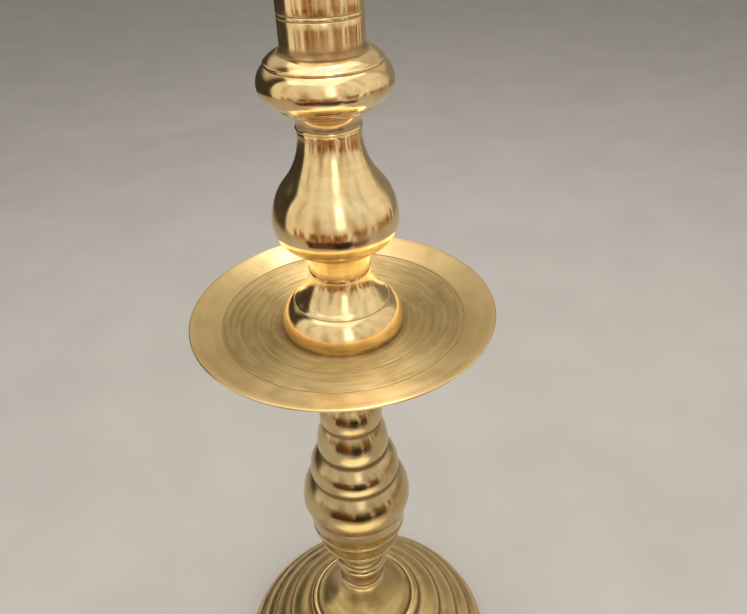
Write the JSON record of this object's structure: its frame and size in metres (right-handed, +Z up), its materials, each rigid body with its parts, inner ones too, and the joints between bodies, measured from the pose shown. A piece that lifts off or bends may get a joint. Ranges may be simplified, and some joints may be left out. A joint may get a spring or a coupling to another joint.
{
  "type": "candlestick",
  "caption": "Tall turned brass candlestick with a stepped round foot, a beehive stem, a wide drip pan half-way up, a pear baluster and a tube socket for one thick candle.",
  "frame": {"origin": "centre of the foot on the table", "axes": "+Z up along the stem, out of the candle socket's mouth; X and Y are level, and the body is round about Z"},
  "size_m": [0.222, 0.222, 0.5884],
  "materials": {
    "polished_brass": "polished",
    "stem_brass": "polished, slightly darkened",
    "pan_brass": "satin turned",
    "foot_brass": "satin turned, tarnished",
    "steel": "plain"
  },
  "bodies": {
    "root": {"base": "foot_brass", "foot_knop": "stem_brass", "lower_stem": "stem_brass", "pan_collar": "stem_brass", "drip_pan": "pan_brass", "stem_bell": "polished_brass", "pear_baluster": "polished_brass", "neck_collar": "polished_brass", "cushion_knop": "polished_brass", "candle_socket": "polished_brass", "tie_rod": "steel", "socket_washer": "steel", "socket_nut": "steel", "base_washer": "steel", "spring_washer": "steel", "base_nut": "steel", "lock_nut": "steel"}
  },
  "joints": []
}
